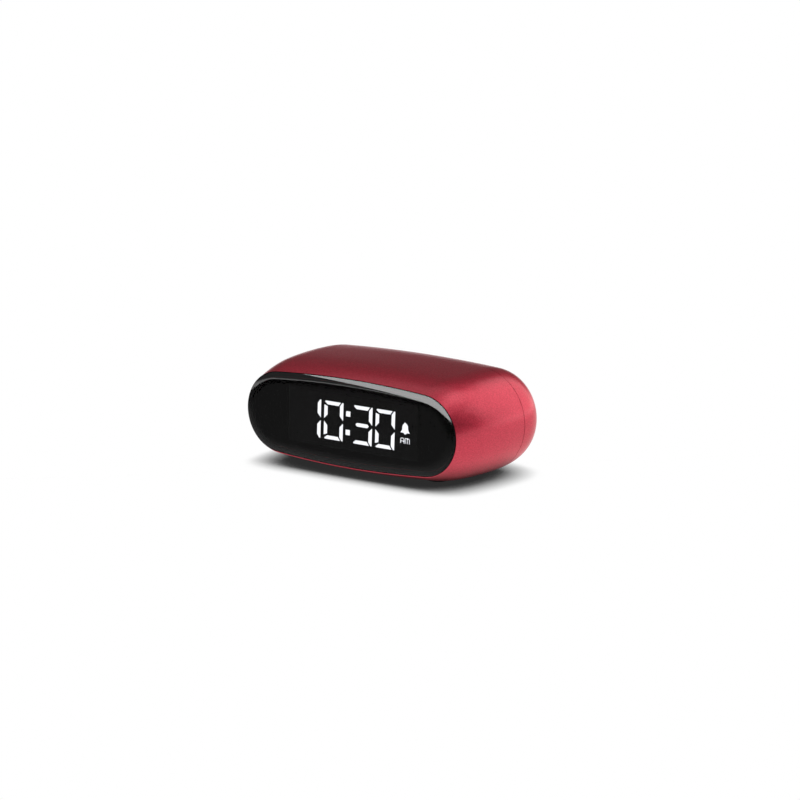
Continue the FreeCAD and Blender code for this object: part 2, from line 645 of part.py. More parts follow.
def segment_outlines():
    """The seven bars of one digit, as (x, z) points in a box from x = 0, centred on z = 0."""
    width, half, waist = DIGIT_WIDTH, DIGIT_HEIGHT / 2, WAIST_GAP / 2
    stroke, bar, gap = UPRIGHT_STROKE, LEVEL_STROKE, SEGMENT_GAP
    inner = width - stroke
    nose = width - stroke / 3
    upper_right = [(width, half), (width, waist), (inner, waist + stroke), (inner, half - bar), (nose, half)]
    upper_left = [(0, half - bar - gap / 4), (stroke, half - bar - gap), (stroke, waist + stroke), (0, waist)]
    top = [(gap / 3, half - bar / 4), (gap, half), (nose - gap, half), (inner - gap, half - bar),
           (stroke, half - bar)]
    middle = [(stroke - bar / 4, 0), (stroke + bar / 4, bar / 2), (inner - bar / 2, bar / 2), (inner, 0),
              (inner - bar / 2, -bar / 2), (stroke + bar / 4, -bar / 2)]
    lower_right, lower_left, bottom = [[(x, -z) for x, z in above] for above in (upper_right, upper_left, top)]
    return {"a": top, "b": upper_right, "c": lower_right, "d": bottom, "e": lower_left, "f": upper_left,
            "g": middle}


def digit_lefts():
    """Left edges of the four digits, from the hour's tens to the minute's units."""
    last = DIGITS_RIGHT - DIGIT_WIDTH
    hours = last - 2 * DIGIT_PITCH - COLON_SPACE
    return [hours - DIGIT_PITCH, hours, last - DIGIT_PITCH, last]


def segment_solids(left, names, grow=0.0):
    outlines = segment_outlines()
    solids = []
    for name in names:
        points = leaning(outlines[name], left)
        wire = Part.makePolygon([Vector(x, DISPLAY_FACE, z) for x, z in points + points[:1]])
        if grow:
            wire = wire.makeOffset2D(grow, 2)
        solids.append(Part.Face(wire).extrude(Vector(0, SEGMENT_DEPTH, 0)))
    return solids


def colon_solids(grow=0.0):
    centre = digit_lefts()[2] - (DIGIT_PITCH - DIGIT_WIDTH + COLON_SPACE) / 2
    half = COLON_DOT / 2 + grow
    dots = []
    for z in (-COLON_PITCH / 2, COLON_PITCH / 2):
        points = leaning([(-half, z - half), (half, z - half), (half, z + half), (-half, z + half)], centre)
        dots.append(prism(points, DISPLAY_FACE, DISPLAY_FACE + SEGMENT_DEPTH))
    return dots


def bell_solid(grow=0.0):
    """Bell: a dome on flared sides, with a flat rim and a small clapper."""
    x = DIGITS_RIGHT + ICON_OFFSET
    base = DIGITS_MIDDLE + BELL_RAISE - BELL_HEIGHT / 2
    half = BELL_WIDTH / 2 + grow
    waist = BELL_WIDTH * BELL_WAIST + grow
    rim = BELL_HEIGHT * BELL_RIM
    lip = rim - BELL_RIM_DEPTH - grow
    shoulder = BELL_HEIGHT * BELL_SHOULDER
    flank = (waist * BELL_FLANK[0], shoulder * BELL_FLANK[1])
    top = BELL_HEIGHT * BELL_TOP + grow

    def at(dx, dz):
        return Vector(x + dx, DISPLAY_FACE, base + dz)

    clapper = BELL_WIDTH * BELL_CLAPPER + grow
    edges = [
        Part.Arc(at(-waist, shoulder), at(0, top), at(waist, shoulder)).toShape(),
        Part.Arc(at(waist, shoulder), at(*flank), at(half, rim)).toShape(),
        Part.makeLine(at(half, rim), at(half, lip)),
        Part.makeLine(at(half, lip), at(clapper, lip)),
        Part.Arc(at(clapper, lip), at(0, -grow), at(-clapper, lip)).toShape(),
        Part.makeLine(at(-clapper, lip), at(-half, lip)),
        Part.makeLine(at(-half, lip), at(-half, rim)),
        Part.Arc(at(-half, rim), at(-flank[0], flank[1]), at(-waist, shoulder)).toShape(),
    ]
    return Part.Face(Part.Wire(edges)).extrude(Vector(0, SEGMENT_DEPTH, 0))


def am_solid(grow=0.0):
    x = DIGITS_RIGHT + ICON_OFFSET
    z = DIGITS_MIDDLE - AM_DROP
    half, side = AM_WIDTH / 2 + grow, AM_HEIGHT / 2 + grow
    return block(x - half, x + half, DISPLAY_FACE, DISPLAY_FACE + SEGMENT_DEPTH, z - side, z + side)


LIT_SEGMENTS = {
    "hour_tens_segments": (0, "bc"),
    "hour_units_segments": (1, "abcdef"),
    "minute_tens_segments": (2, "abcdg"),
    "minute_units_segments": (3, "abcdef"),
}
UNLIT_SEGMENTS = [(1, "g"), (2, "ef"), (3, "g")]


def display_housing():
    body = block(-DISPLAY_WIDTH / 2 + DISPLAY_CLEARANCE, DISPLAY_WIDTH / 2 - DISPLAY_CLEARANCE, DISPLAY_FACE,
                 MAIN_BOARD_Y, -DISPLAY_HEIGHT / 2 + DISPLAY_CLEARANCE, DISPLAY_HEIGHT / 2 - DISPLAY_CLEARANCE)
    pockets = []
    lefts = digit_lefts()
    for index, names in list(LIT_SEGMENTS.values()) + UNLIT_SEGMENTS:
        pockets += segment_solids(lefts[index], names, SEGMENT_CLEARANCE)
    pockets += colon_solids(SEGMENT_CLEARANCE)
    pockets += [bell_solid(SEGMENT_CLEARANCE), am_solid(SEGMENT_CLEARANCE)]
    return body.cut(pockets)


def main_board_wire_prism(start, end):
    inset = WALL + MAIN_BOARD_MARGIN
    wire = rounded_end_wire(start, *half_sizes(MAIN_BOARD_Y, inset), CROWN_RISE_FRONT)
    return Part.Face(wire).extrude(Vector(0, end - start, 0))


def main_board():
    board = main_board_wire_prism(MAIN_BOARD_Y, MAIN_BOARD_BACK)
    hole = SCREW_DIAMETER + 2 * SCREW_HOLE_CLEARANCE
    return board.cut([rod(x, z, MAIN_BOARD_Y - CUT_OVERSHOOT, MAIN_BOARD_BACK + CUT_OVERSHOOT, hole)
                      for x, z in board_boss_places()])


def screw(x, z, seat, reach, towards_front=True):
    """Pan-head screw whose head seats at depth seat and whose shank runs reach towards the front or back."""
    sign = -1 if towards_front else 1
    shank = Part.makeCylinder(SCREW_DIAMETER / 2, reach, Vector(x, seat, z), Vector(0, sign, 0))
    head = Part.makeCylinder(SCREW_HEAD_DIAMETER / 2, SCREW_HEAD_HEIGHT, Vector(x, seat, z), Vector(0, -sign, 0))
    far = seat - sign * SCREW_HEAD_HEIGHT
    head = head.makeChamfer(SCREW_HEAD_CHAMFER, edges_at(head, far))
    arm = SCREW_SLOT_LENGTH / 2
    slot = SCREW_SLOT_WIDTH / 2
    depth = SCREW_SLOT_DEPTH
    low, high = sorted((far, far + sign * depth))
    cross = [block(x - arm, x + arm, low, high, z - slot, z + slot),
             block(x - slot, x + slot, low, high, z - arm, z + arm)]
    return shank.fuse(head.cut(cross))


def controller_chip():
    return block(-CHIP_SIZE / 2, CHIP_SIZE / 2, MAIN_BOARD_BACK, MAIN_BOARD_BACK + CHIP_HEIGHT,
                 -CHIP_SIZE / 2, CHIP_SIZE / 2)


def driver_chip():
    x = -CHIP_SIZE / 2 - DRIVER_LENGTH
    return block(x - DRIVER_LENGTH / 2, x + DRIVER_LENGTH / 2, MAIN_BOARD_BACK, MAIN_BOARD_BACK + CHIP_HEIGHT,
                 -DRIVER_WIDTH / 2, DRIVER_WIDTH / 2)


def timing_crystal():
    z = CHIP_SIZE / 2 + CRYSTAL_DIAMETER
    can = Part.makeCylinder(CRYSTAL_DIAMETER / 2, CRYSTAL_LENGTH,
                            Vector(-CRYSTAL_LENGTH / 2, MAIN_BOARD_BACK + CRYSTAL_DIAMETER / 2, z), Vector(1, 0, 0))
    return can.makeChamfer(CRYSTAL_EDGE, flat_ends(can))


def ribbon_z(depth):
    """Height of the ribbon where it meets the main board, and where it meets the key board."""
    return -RIBBON_DROP if depth < SEAM else 0.0


def connector(y, faces_rear):
    z = ribbon_z(y)
    y0, y1 = (y, y + CONNECTOR_DEPTH) if faces_rear else (y - CONNECTOR_DEPTH, y)
    shell = block(RIBBON_X - CONNECTOR_WIDTH / 2, RIBBON_X + CONNECTOR_WIDTH / 2, y0, y1,
                  z - CONNECTOR_HEIGHT / 2, z + CONNECTOR_HEIGHT / 2)
    mouth = CONNECTOR_DEPTH - RIBBON_END
    m0, m1 = (y1 - mouth, y1) if faces_rear else (y0, y0 + mouth)
    room = RIBBON_THICKNESS / 2 + RIBBON_CLEARANCE
    half = RIBBON_WIDTH / 2 + room
    slot = block(RIBBON_X - half, RIBBON_X + half, m0, m1, z - room, z + room)
    return shell.cut(slot)


def ribbon_cable():
    start = MAIN_BOARD_BACK + RIBBON_END
    end = KEY_BOARD_Y - RIBBON_END
    z0 = ribbon_z(start)
    z1 = ribbon_z(end)
    middle = (start + end) / 2
    points = [Vector(RIBBON_X, start, z0), Vector(RIBBON_X, middle - RIBBON_BEND, z0),
              Vector(RIBBON_X, middle + RIBBON_BEND, z1), Vector(RIBBON_X, end, z1)]
    return strip(points, RIBBON_WIDTH, RIBBON_THICKNESS, RIBBON_BEND)


def touch_plate():
    start = TOUCH_CENTRE - TOUCH_LENGTH / 2
    end = TOUCH_CENTRE + TOUCH_LENGTH / 2
    inset = WALL + TOUCH_GAP
    foil = body_loft(start, end, inset).cut(
        body_loft(start - CUT_OVERSHOOT, end + CUT_OVERSHOOT, inset + TOUCH_THICKNESS))
    return foil.common(block(-TOUCH_WIDTH / 2, TOUCH_WIDTH / 2, start, end, 0, BODY_HEIGHT))


def touch_contact():
    """Bent leaf from the main board to the underside of the touch plate."""
    start = TOUCH_CENTRE - TOUCH_LENGTH / 2
    top = -underside(0, start + CONTACT_BEND, WALL + TOUCH_THICKNESS) - CONTACT_SAG
    foot_z = top - CONTACT_DROP
    knee = MAIN_BOARD_BACK + CONTACT_FOOT
    points = [Vector(0, MAIN_BOARD_BACK, foot_z), Vector(0, knee, foot_z), Vector(0, knee + CONTACT_RISE, top),
              Vector(0, TOUCH_CENTRE, top + CONTACT_THICKNESS)]
    return strip(points, CONTACT_WIDTH, CONTACT_THICKNESS, CONTACT_BEND)


def button(x):
    cap = rod(x, BUTTON_RAISE, FLANGE_BACK, PANEL_FLOOR + BUTTON_PROUD, BUTTON_DIAMETER)
    cap = cap.makeFillet(BUTTON_EDGE_RADIUS, edges_at(cap, PANEL_FLOOR + BUTTON_PROUD))
    flange = rod(x, BUTTON_RAISE, FLANGE_FRONT, FLANGE_BACK, BUTTON_DIAMETER + 2 * BUTTON_FLANGE)
    return cap.fuse(flange).removeSplitter()


def plunger(x):
    return rod(x, BUTTON_RAISE, TACT_TOP - TACT_PLUNGER_DEPTH, FLANGE_FRONT, TACT_PLUNGER_DIAMETER)


def tact_switches():
    bodies = []
    for x in BUTTON_XS:
        half = TACT_SIZE / 2
        body = block(x - half, x + half, KEY_BOARD_BACK, TACT_TOP, BUTTON_RAISE - half, BUTTON_RAISE + half)
        floor = TACT_TOP - TACT_PLUNGER_DEPTH - BUTTON_TRAVEL - TACT_WELL_ROOM
        well = rod(x, BUTTON_RAISE, floor, TACT_TOP, TACT_PLUNGER_DIAMETER + 2 * BUTTON_CLEARANCE)
        bodies.append(body.cut(well))
    return Part.makeCompound(bodies)


def key_board():
    half = KEY_BOARD_WIDTH / 2
    board = rounded_block(PANEL_X - half, PANEL_X + half, KEY_BOARD_Y, KEY_BOARD_BACK, KEY_BOARD_BOTTOM,
                          KEY_BOARD_TOP, KEY_BOARD_CORNER)
    hole = SCREW_DIAMETER + 2 * SCREW_HOLE_CLEARANCE
    return board.cut([rod(x, z, KEY_BOARD_Y - CUT_OVERSHOOT, KEY_BOARD_BACK + CUT_OVERSHOOT, hole)
                      for x, z in KEY_BOSS_PLACES])


def knob_travel_block(length, width, y0, y1):
    """Block in the switch channel, long enough for a foot of this length to travel in."""
    x = PANEL_X + SWITCH_X
    half = (SWITCH_TRAVEL + length) / 2 + KNOB_CLEARANCE
    side = width / 2 + KNOB_CLEARANCE / 2
    return block(x - half, x + half, y0, y1, -SWITCH_DROP - side, -SWITCH_DROP + side)


def slide_switch_body():
    x = PANEL_X + SWITCH_X
    top = KEY_BOARD_BACK + SWITCH_BODY_HEIGHT
    body = block(x - SWITCH_BODY_LENGTH / 2, x + SWITCH_BODY_LENGTH / 2, KEY_BOARD_BACK, top,
                 -SWITCH_DROP - SWITCH_BODY_WIDTH / 2, -SWITCH_DROP + SWITCH_BODY_WIDTH / 2)
    return body.cut(knob_travel_block(KNOB_LENGTH, KNOB_WIDTH, top - KNOB_FOOT - KNOB_CLEARANCE, top))


def alarm_switch_knob():
    """Slider of the alarm switch, resting at the left end of its travel, with grip ridges on its face."""
    x = PANEL_X + SWITCH_X - SWITCH_TRAVEL / 2
    top = KEY_BOARD_BACK + SWITCH_BODY_HEIGHT
    face = PANEL_FLOOR + KNOB_PROUD
    half = KNOB_LENGTH / 2
    side = KNOB_WIDTH / 2
    low, high = -SWITCH_DROP - side, -SWITCH_DROP + side
    knob = block(x - half, x + half, top - KNOB_FOOT - KNOB_CLEARANCE / 2, face, low, high)
    groove_half = KNOB_GROOVE_WIDTH / 2
    grooves = [block(x + i * KNOB_GROOVE_PITCH - groove_half, x + i * KNOB_GROOVE_PITCH + groove_half,
                     face - KNOB_GROOVE_WIDTH, face, low, high) for i in (-1, 0, 1)]
    return knob.cut(grooves)


def buzzer():
    z = -BUZZER_DROP
    x = PANEL_X + BUZZER_X
    top = PANEL_INSIDE - BUZZER_CLEARANCE
    can = rod(x, z, KEY_BOARD_BACK, top, BUZZER_DIAMETER)
    return can.cut(rod(x, z, top - BUZZER_PORT_DEPTH, top + CUT_OVERSHOOT, BUZZER_PORT_DIAMETER))


def cell(z, nub_sign):
    """Cell with its positive nub towards +X or -X, pressed against the contact at that end."""
    body_length = CELL_LENGTH - CELL_NUB_LENGTH
    if nub_sign > 0:
        start = BAY_LEFT + CONTACT_PLATE + LEAF_REACH
        nub = start + body_length
    else:
        start = BAY_RIGHT - CONTACT_PLATE - LEAF_REACH - body_length
        nub = start - CELL_NUB_LENGTH
    body = Part.makeCylinder(CELL_DIAMETER / 2, body_length, Vector(start, CELL_Y, z), Vector(1, 0, 0))
    body = body.makeChamfer(CELL_EDGE, flat_ends(body))
    cap = Part.makeCylinder(CELL_NUB_DIAMETER / 2, CELL_NUB_LENGTH, Vector(nub, CELL_Y, z), Vector(1, 0, 0))
    return body.fuse(cap)


def plate(x, z, height):
    half = CONTACT_SPAN / 2
    return block(x, x + CONTACT_PLATE, CELL_Y - half, CELL_Y + half, z - height / 2, z + height / 2)


def leaf(x, z, sign):
    """Sprung V of sheet metal that presses on the flat end of a cell."""
    outer = [(x, z - LEAF_HALF_SPAN), (x + sign * LEAF_REACH, z), (x, z + LEAF_HALF_SPAN)]
    opening = LEAF_HALF_SPAN - 2 * LEAF_THICKNESS
    inner = [(x, z - opening), (x + sign * (LEAF_REACH - LEAF_THICKNESS), z), (x, z + opening)]
    half = CONTACT_SPAN / 4
    return prism(outer, CELL_Y - half, CELL_Y + half).cut(prism(inner, CELL_Y - half, CELL_Y + half))


def dome(x, z, sign):
    """Pressed boss that reaches the nub of a cell."""
    return Part.makeCone(DOME_BASE_RADIUS, DOME_TIP_RADIUS, DOME_HEIGHT, Vector(x, CELL_Y, z), Vector(sign, 0, 0))


def battery_bridge():
    """One plate joining both cells at the left end: a leaf for the upper one, a boss for the lower one."""
    x = BAY_LEFT + CONTACT_PLATE
    base = plate(BAY_LEFT, 0, 2 * CELL_Z + CONTACT_SPAN)
    return fused([base, leaf(x, CELL_Z, 1), dome(x, -CELL_Z, 1)])


def contact_tail(z, clearance=0.0):
    """Tail of an end contact that runs forward through the bay's front wall to its lead."""
    half = TAIL_WIDTH / 2 + clearance
    front = BAY_FRONT - BAY_WALL - TAIL_REACH
    return block(BAY_RIGHT - CONTACT_PLATE - clearance, BAY_RIGHT, front, CELL_Y, z - half, z + half)


def plus_contact():
    x = BAY_RIGHT - CONTACT_PLATE
    return fused([plate(x, CELL_Z, CONTACT_SPAN), contact_tail(CELL_Z), dome(x, CELL_Z, -1)])


def minus_contact():
    x = BAY_RIGHT - CONTACT_PLATE
    return fused([plate(x, -CELL_Z, CONTACT_SPAN), contact_tail(-CELL_Z), leaf(x, -CELL_Z, -1)])


def battery_leads():
    """Two leads from the contact tails to the back of the main board."""
    leads = []
    for z, side in ((CELL_Z, 1), (-CELL_Z, -1)):
        x = BAY_RIGHT - CONTACT_PLATE / 2
        start = BAY_FRONT - BAY_WALL - TAIL_REACH
        third = (start - MAIN_BOARD_BACK) / 3
        end_x = x + LEAD_SHIFT
        end_z = z + side * LEAD_SPREAD
        points = [Vector(x, start, z), Vector(x, start - third, z),
                  Vector(end_x, MAIN_BOARD_BACK + third, end_z), Vector(end_x, MAIN_BOARD_BACK, end_z)]
        leads.append(tube(points, LEAD_DIAMETER, LEAD_BEND))
    return Part.makeCompound(leads)


def battery_door():
    """Panel cut from the body's own back, with two tabs below and a rib above."""
    skin = rear_loft(0.0, BAY_FRONT + CELL_DIAMETER - CELL_SEAT)
    skin = skin.cut(rear_loft(DOOR_THICKNESS, BAY_FRONT))
    panel = skin.common(door_outline(DOOR_GAP, BAY_FRONT + CELL_DIAMETER, BODY_DEPTH + CUT_OVERSHOOT))
    limit = rear_loft(DOOR_THICKNESS / 2, SEAM)
    tabs = []
    for x in door_tab_centres():
        root = tab_block(x, 0.0)
        riser = block(x - DOOR_TAB_WIDTH / 2, x + DOOR_TAB_WIDTH / 2, tab_back() - DOOR_TAB_THICKNESS,
                      BODY_DEPTH, -BAY_HALF_HEIGHT + DOOR_GAP, -DOOR_HEIGHT / 2 + DOOR_TAB_ROOT)
        tabs += [root, riser.common(limit)]
    return panel.fuse(tabs)


def door_pad():
    """Foam strip inside the door that steadies the cells."""
    half = DOOR_WIDTH / 2 - DOOR_PAD_MARGIN
    strip_block = block(DOOR_MIDDLE - half, DOOR_MIDDLE + half, CELL_Y + CELL_DIAMETER / 2 - DOOR_PAD_SQUASH,
                        BODY_DEPTH, -DOOR_PAD_WIDTH / 2, DOOR_PAD_WIDTH / 2)
    return strip_block.common(rear_loft(DOOR_THICKNESS, BAY_FRONT))


def build():
    """All sub-parts of the clock, by node name."""
    nodes = {
        "front_shell": front_shell(),
        "rear_cover": rear_cover(),
        "lens": lens(),
        "lens_tape": lens_tape(),
        "display_mask": display_mask(),
        "display_housing": display_housing(),
        "colon_dots": Part.makeCompound(colon_solids()),
        "alarm_icon": bell_solid(),
        "am_window": am_solid(),
        "main_board": main_board(),
        "controller_chip": controller_chip(),
        "driver_chip": driver_chip(),
        "timing_crystal": timing_crystal(),
        "main_connector": connector(MAIN_BOARD_BACK, True),
        "key_connector": connector(KEY_BOARD_Y, False),
        "ribbon_cable": ribbon_cable(),
        "touch_plate": touch_plate(),
        "touch_contact": touch_contact(),
        "key_board": key_board(),
        "tact_switches": tact_switches(),
        "slide_switch_body": slide_switch_body(),
        "alarm_switch_knob": alarm_switch_knob(),
        "buzzer": buzzer(),
        "battery_upper": cell(CELL_Z, 1),
        "battery_lower": cell(-CELL_Z, -1),
        "battery_bridge": battery_bridge(),
        "plus_contact": plus_contact(),
        "minus_contact": minus_contact(),
        "battery_leads": battery_leads(),
        "battery_door": battery_door(),
        "door_pad": door_pad(),
    }
    lefts = digit_lefts()
    for name, (index, names) in LIT_SEGMENTS.items():
        nodes[name] = Part.makeCompound(segment_solids(lefts[index], names))
    unlit = []
    for index, names in UNLIT_SEGMENTS:
        unlit += segment_solids(lefts[index], names)
    nodes["unlit_segments"] = Part.makeCompound(unlit)
    for name, x in zip(("time_button", "alarm_button", "minus_button", "plus_button"), BUTTON_XS):
        nodes[name] = button(x)
        nodes[name.replace("button", "plunger")] = plunger(x)
    for side, x in (("left", -FOOT_X), ("right", FOOT_X)):
        nodes["foot_front_" + side] = foot(x, FOOT_FRONT_Y)
        nodes["foot_rear_" + side] = foot(x, FOOT_REAR_Y)
    nodes["case_screws"] = Part.makeCompound(
        [screw(x, z, CASE_SCREW_SEAT, CASE_SCREW_REACH) for x, z in CASE_SCREW_PLACES])
    nodes["board_screws"] = Part.makeCompound(
        [screw(x, z, MAIN_BOARD_BACK, BOARD_THICKNESS + BOARD_SCREW_REACH) for x, z in board_boss_places()])
    nodes["key_board_screws"] = Part.makeCompound(
        [screw(x, z, KEY_BOARD_Y, BOARD_THICKNESS + BOARD_SCREW_REACH - PILOT_END_ROOM, False)
         for x, z in KEY_BOSS_PLACES])
    return nodes


def write(nodes):
    os.makedirs("parts", exist_ok=True)
    for name, shape in nodes.items():
        placed = shape.copy()
        placed.translate(Vector(0, -BODY_DEPTH / 2, -FLOOR))
        placed.exportStep("parts/" + name + ".step")
        box = placed.BoundBox
        print("%-22s solids %2d volume %9.2f valid %s  x %.2f %.2f  y %.2f %.2f  z %.2f %.2f" % (
            name, len(placed.Solids), placed.Volume, placed.isValid(), box.XMin, box.XMax, box.YMin, box.YMax,
            box.ZMin, box.ZMax))


write(build())
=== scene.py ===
import json
import math

import bpy
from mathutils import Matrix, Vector


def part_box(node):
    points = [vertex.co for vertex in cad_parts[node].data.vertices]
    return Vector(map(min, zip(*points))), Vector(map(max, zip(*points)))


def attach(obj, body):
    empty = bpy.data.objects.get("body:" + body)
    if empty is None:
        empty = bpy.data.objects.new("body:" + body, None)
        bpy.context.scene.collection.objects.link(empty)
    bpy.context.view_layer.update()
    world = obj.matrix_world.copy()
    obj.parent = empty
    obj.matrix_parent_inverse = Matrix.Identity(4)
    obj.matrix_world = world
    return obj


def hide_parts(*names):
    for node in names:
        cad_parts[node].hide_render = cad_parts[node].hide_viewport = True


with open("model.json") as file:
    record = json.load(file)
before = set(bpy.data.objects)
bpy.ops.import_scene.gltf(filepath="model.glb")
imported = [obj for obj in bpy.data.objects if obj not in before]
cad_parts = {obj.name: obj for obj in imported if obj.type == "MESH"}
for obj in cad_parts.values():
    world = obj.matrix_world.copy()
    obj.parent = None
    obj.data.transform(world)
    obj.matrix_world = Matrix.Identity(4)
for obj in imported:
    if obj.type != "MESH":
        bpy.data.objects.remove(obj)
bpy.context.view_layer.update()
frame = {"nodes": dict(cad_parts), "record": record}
NODES = frame["nodes"]

MM = 0.001

# Camera of the photograph: its angles in degrees, its distance, and its lens and sensor
AZIMUTH = 38.0
ELEVATION = 12.56
DISTANCE = 1.5
FOCAL_PX = 4215.0
FRAME_PX = 800
SENSOR_MM = 36.0
CLIP_START = 0.05
CLIP_END = 60.0
# The pixel on which the centre of the lens's face falls
LENS_CENTRE_PX = (348.6, 424.3)

# Places measured from the frame
LENS_LOW, LENS_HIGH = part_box("lens")
LENS_FACE_Y = LENS_LOW[1]
LENS_CENTRE = Vector(((LENS_LOW[0] + LENS_HIGH[0]) / 2, LENS_FACE_Y, (LENS_LOW[2] + LENS_HIGH[2]) / 2))
LENS_HALF_WIDTH = (LENS_HIGH[0] - LENS_LOW[0]) / 2
LENS_HALF_HEIGHT = (LENS_HIGH[2] - LENS_LOW[2]) / 2
LIP_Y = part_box("front_shell")[0][1]

# Lens plate as it is drawn here: it covers the lip, which is drawn in behind it
LENS_CROWN = 1.35 * MM
LENS_BACK_Y = LIP_Y - 0.02 * MM
LENS_EDGE_Y = LIP_Y - 0.1 * MM
DOME_WIDTH = 4.5 * MM
DOME_STEPS = 16
END_STEPS = 60
CROWN_STEPS = 60
PLUG_INSET = 0.85 * MM
PLATE_LIFT = 0.15 * MM
SHARP_ANGLE = math.radians(30.0)

# Front shell: the room between the lens and the lip's outline, and how much and how far the shell is drawn in
LIP_ROOM = 0.65 * MM
SLIM = 0.7 * MM
SLIM_REACH = 14.0 * MM

# Metallic paint: colours of its darkest and lightest flakes, flakes per metre, and its clear coat
RED_LOW = (0.47, 0.018, 0.042)
RED_HIGH = (0.67, 0.038, 0.076)
FLAKE_SCALE = 3800.0
FLAKE_ROUGHNESS = (0.34, 0.46)
FLAKE_METALLIC = 0.93
FLAKE_EDGE_TINT = (1.0, 0.3, 0.35, 1.0)
FLAKE_BUMP = 0.08
FLAKE_DEPTH = 0.04 * MM
PAINT_COAT = 0.75
PAINT_COAT_ROUGHNESS = 0.25

# Moulded plastic: waves per metre of its mottling, of its sheen and of its fine texture
MOTTLE_SCALE = 60.0
SHEEN_SCALE = 140.0
TEXTURE_SCALE = 900.0
TEXTURE_DETAIL = 2.0
TEXTURE_BUMP = 0.25
TEXTURE_DEPTH = 0.03 * MM

# Grain and depth of the foam on the battery door, and the dead surfaces that lie behind the smoked lens
FOAM_SCALE = 1800.0
FOAM_DEPTH = 0.2 * MM
DEAD_ROUGHNESS = (0.75, 0.9)
DEAD_SPECULAR = 0.05

# Rolled sheet metal: stretch of its lines along and across, and its roughness
ROLLING_STRETCH = (40.0, 1500.0, 1500.0)
ROLLED_ROUGHNESS = (0.28, 0.42)

# Smoked lens: its tint, its polish, and its gloss (from 0 to 1) against the upward tilt of its surface,
# which is 0 on the flat face
SMOKE_LOW = (0.2, 0.2, 0.205)
SMOKE_HIGH = (0.21, 0.21, 0.215)
SMOKE_SCALE = 30.0
POLISH = (0.01, 0.02)
POLISH_SCALE = 90.0
SMOKE_IOR = 1.1
SMOKE_SPECULAR = 0.2
COATING = ((0.0, 0.033), (0.06, 0.007), (0.135, 0.007), (0.15, 0.8), (1.0, 0.8))
COATING_IOR = 2.1
COATING_ROUGHNESS = 0.01

# Lit segments
GLOW_LOW = (0.93, 0.95, 1.0)
GLOW_HIGH = (1.0, 1.0, 1.0)
GLOW_SCALE = 250.0
GLOW_STRENGTH = 5.0
GLOW_ROUGHNESS = 0.5

# Circuit boards: their solder mask over and between the traces
MASK_LOW = (0.004, 0.035, 0.016, 1.0)
MASK_HIGH = (0.005, 0.042, 0.02, 1.0)
TRACE_COLOUR = (0.012, 0.08, 0.036, 1.0)
TRACE_SCALE = 320.0
TRACE_WIDTH = 0.03
MASK_ROUGHNESS = 0.35

# Pen strokes: the least cosine of half a corner's turn that its mitre follows, which keeps the mitre short
MITRE_COSINE = 0.5

# Morning letters, in millimetres from the middle of their window: the places of their upright strokes, the
# corners that are cut off them, and their bar
LETTER_TOP = 0.95
LETTER_SHOULDER = 0.6
FIRST_LEFT, FIRST_RIGHT = -1.9, -0.45
FIRST_BAR = -0.1
SECOND_LEFT, SECOND_MIDDLE, SECOND_RIGHT = 0.1, 1.02, 1.95
LETTER_CUT = 0.3
LETTER_STROKE = 0.19
LETTER_DEPTH = 0.08

# Half of the bell's outline in millimetres from its lowest point up: (half width, height)
BELL_OUTLINE = ((0.0, 0.0), (0.34, 0.1), (0.5, 0.4), (0.5, 0.56), (1.95, 0.56), (1.9, 0.86), (1.52, 1.2),
                (1.27, 1.7), (1.18, 2.5), (1.02, 3.2), (0.72, 3.65), (0.38, 3.85), (0.34, 4.15), (0.0, 4.35))

# Button marks: height of the buttons above the sunk panel, as in the source of the part, how far a mark
# stands above its button, and in millimetres the ink's strokes and the marks' own sizes
BUTTON_PROUD = 1.0 * MM
MARK_RISE = 3.15 * MM
INK_STROKE = 0.22
SIGN_STROKE = 0.26
INK_DEPTH = 0.03
DIAL_RADIUS = 0.75
DIAL_STEPS = 20
HANDS = ((0, 0.45), (0, 0), (0.35, -0.2))
BELL_HALF_WIDTH = 0.8
BELL_WAIST = 0.5
BELL_FLARE_Z = -0.2
BELL_RIM_Z = -0.5
BELL_TOP_Z = 0.15
BELL_STEPS = 8
CLAPPER_HALF_WIDTH = 0.22
CLAPPER_Z = -0.76
SIGN_HALF_WIDTH = 0.65

# Floor: its half size in metres, its white and its sheen
FLOOR_REACH = 12.0
FLOOR_WHITE = (0.93, 0.94)
FLOOR_SCALE = 3.0
FLOOR_ROUGHNESS = 0.9
FLOOR_SPECULAR = 0.1

# Shadow under the clock: how far it reaches, which way it leans, how dark it is, and where it starts and ends
SHADOW_REACH = 0.0135
SHADOW_LEAN = (0.32, -0.2, 0.92)
SHADOW_LEVEL = 0.025
SHADOW_START = 0.3
SHADOW_END = 0.82
SHADOW_SAMPLES = 16

# Sky: the heights between which it fades from the white of the floor, and its level as a light and as seen
HORIZON_START = 0.02
HORIZON_END = 0.08
SKY_LEVEL = 0.17
SEEN_SKY_LEVEL = 0.14

# Lamps: name, direction from the clock, distance, width, height and radiance
SOFTBOXES = (
    ("overhead_softbox", (0.0, -0.2, 1.0), 2.0, 4.0, 4.0, 0.5),
    ("key_softbox", (0.4, 0.9, 0.36), 1.8, 1.9, 1.8, 1.35),
    ("ridge_softbox", (0.25, 0.45, 0.86), 1.2, 0.5, 0.5, 1.2),
)

# Front softbox: how far it stands from the lens along its mirror line and beside that line, its height
# above the floor, the lean of its side edges in degrees, its size and its radiance
FRONT_DISTANCE = 1.0
FRONT_ASIDE = 0.334
FRONT_HEIGHT = 0.3445
FRONT_LEAN = 33.0
FRONT_SIZE = (0.71, 0.92)
FRONT_RADIANCE = 3.0


def new_material(name):
    """A node material with its node tree's nodes and links, and its main shader."""
    material = bpy.data.materials.new(name)
    material.use_nodes = True
    nodes = material.node_tree.nodes
    return material, nodes, material.node_tree.links, nodes["Principled BSDF"]


